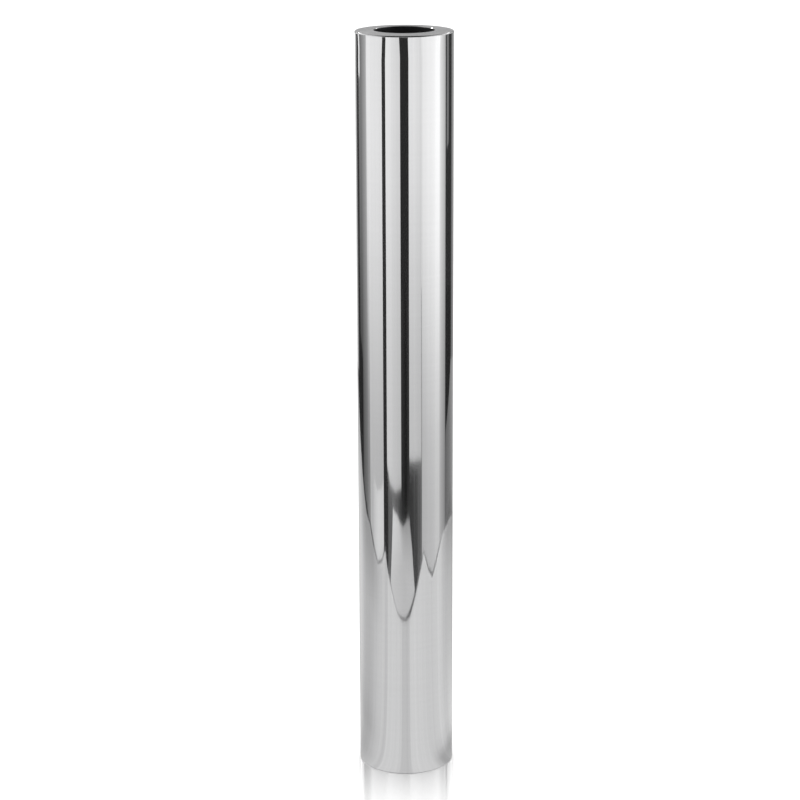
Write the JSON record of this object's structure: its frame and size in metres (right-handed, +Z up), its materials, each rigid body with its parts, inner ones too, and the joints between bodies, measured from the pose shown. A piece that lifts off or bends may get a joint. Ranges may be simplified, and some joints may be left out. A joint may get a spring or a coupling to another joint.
{
  "type": "steel safety bollard",
  "caption": "Tall round polished steel bollard with a flat annular top and an open mouth; its sleeve lifts off a steel core on a round foot plate.",
  "frame": {"origin": "centre of the foot, on the floor", "axes": "+Z up along the bollard's axis, +Y towards the back, where the set screws are, +X to the right of the front"},
  "size_m": [0.1142, 0.1142, 0.9],
  "materials": {
    "polished_stainless": "mirror polished stainless steel with very fine lines round the tube",
    "satin_stainless": "satin turned stainless steel",
    "galvanised_steel": "hot-dip galvanised, dull spangle",
    "black_rubber": "matt EPDM rubber",
    "natural_nylon": "moulded natural nylon",
    "zinc_screws": "bright zinc plated",
    "steel_screws": "plain stainless steel"
  },
  "bodies": {
    "core": {"foot_pad": "black_rubber", "base_plate": "galvanised_steel", "core_pipe": "galvanised_steel", "foot_collar": "galvanised_steel", "top_gasket": "black_rubber", "spacer_1_back": "natural_nylon", "spacer_1_front": "natural_nylon", "spacer_2_back": "natural_nylon", "spacer_2_front": "natural_nylon", "spacer_3_back": "natural_nylon", "spacer_3_front": "natural_nylon", "spacer_clamp_screws": "zinc_screws", "spacer_clamp_nuts": "zinc_screws"},
    "sleeve": {"outer_sleeve": "polished_stainless", "top_collar": "satin_stainless", "locating_ring": "satin_stainless", "set_screw_bosses": "satin_stainless", "set_screws": "steel_screws"}
  },
  "joints": [
    {"name": "sleeve_lift", "type": "slide", "parent": "core", "child": "sleeve", "axis": [0, 0, 1], "range_m": [0, 0.9]}
  ]
}
